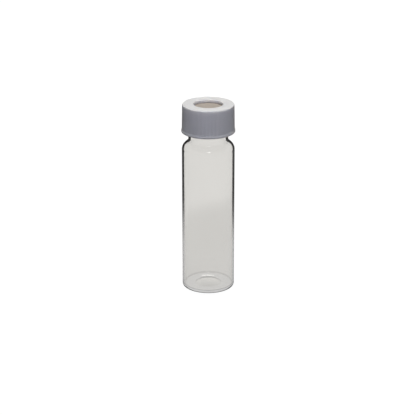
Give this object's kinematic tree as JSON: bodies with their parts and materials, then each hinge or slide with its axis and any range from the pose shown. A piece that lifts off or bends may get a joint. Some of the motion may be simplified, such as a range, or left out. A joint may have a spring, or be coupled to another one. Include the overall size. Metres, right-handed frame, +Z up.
{
  "type": "glass sample vial",
  "caption": "Clear cylindrical glass vial with a short necked-in screw finish, an open-top ribbed screw cap and a soft septum disc under its port.",
  "frame": {"origin": "centre of the base, on the plane that the vial stands on", "axes": "+Z up along the vial's axis, from the base to the cap"},
  "size_m": [0.0278, 0.0278, 0.1],
  "materials": {
    "vial_glass": "fire-polished clear glass",
    "septum_rubber": "matt silicone",
    "cap_plastic": "satin moulded polypropylene"
  },
  "bodies": {
    "vial": {"vial": "vial_glass"},
    "septum": {"septum": "septum_rubber"},
    "cap": {"cap": "cap_plastic"}
  },
  "joints": [
    {"name": "cap_lift", "type": "slide", "parent": "vial", "child": "septum", "axis": [0, 0, 1], "range_m": [0, 0.00397]},
    {"name": "cap_turn", "type": "hinge", "parent": "septum", "child": "cap", "pos_m": [0, 0, 0.09], "axis": [0, 0, 1], "range_deg": [0, 450]}
  ],
  "couplings": [
    {"joint": "cap_lift", "follows": "cap_turn", "m_per_rad": 0.00050532}
  ]
}
